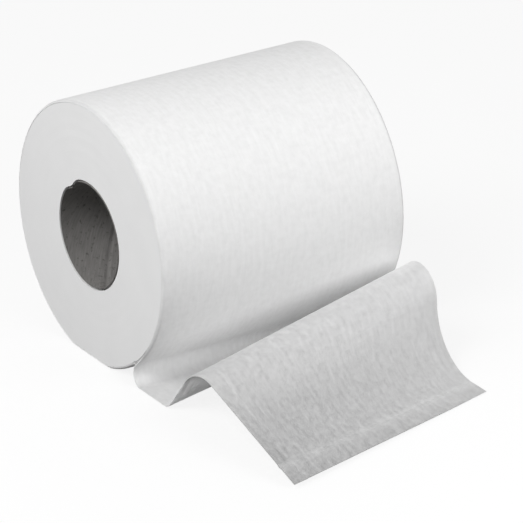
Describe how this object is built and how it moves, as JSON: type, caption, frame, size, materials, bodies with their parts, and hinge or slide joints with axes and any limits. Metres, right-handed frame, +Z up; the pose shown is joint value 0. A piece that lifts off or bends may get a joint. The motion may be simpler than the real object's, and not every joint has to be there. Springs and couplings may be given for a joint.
{
  "type": "toilet paper roll",
  "caption": "Soft paper roll wound on a cardboard tube, lying on its side with its loose end trailing in front in a low hump.",
  "frame": {"origin": "on the floor, at the middle of the flat spot that the roll rests on", "axes": "+Y along the roll's axis, +X towards the free end of the tail, +Z up"},
  "size_m": [0.1882, 0.108, 0.1026],
  "materials": {
    "tissue": "matt white two-ply tissue, creped and finely embossed",
    "core_board": "matt grey recycled board, spiral wound"
  },
  "bodies": {
    "root": {"tissue_roll": "tissue", "cardboard_core": "core_board"}
  },
  "joints": []
}
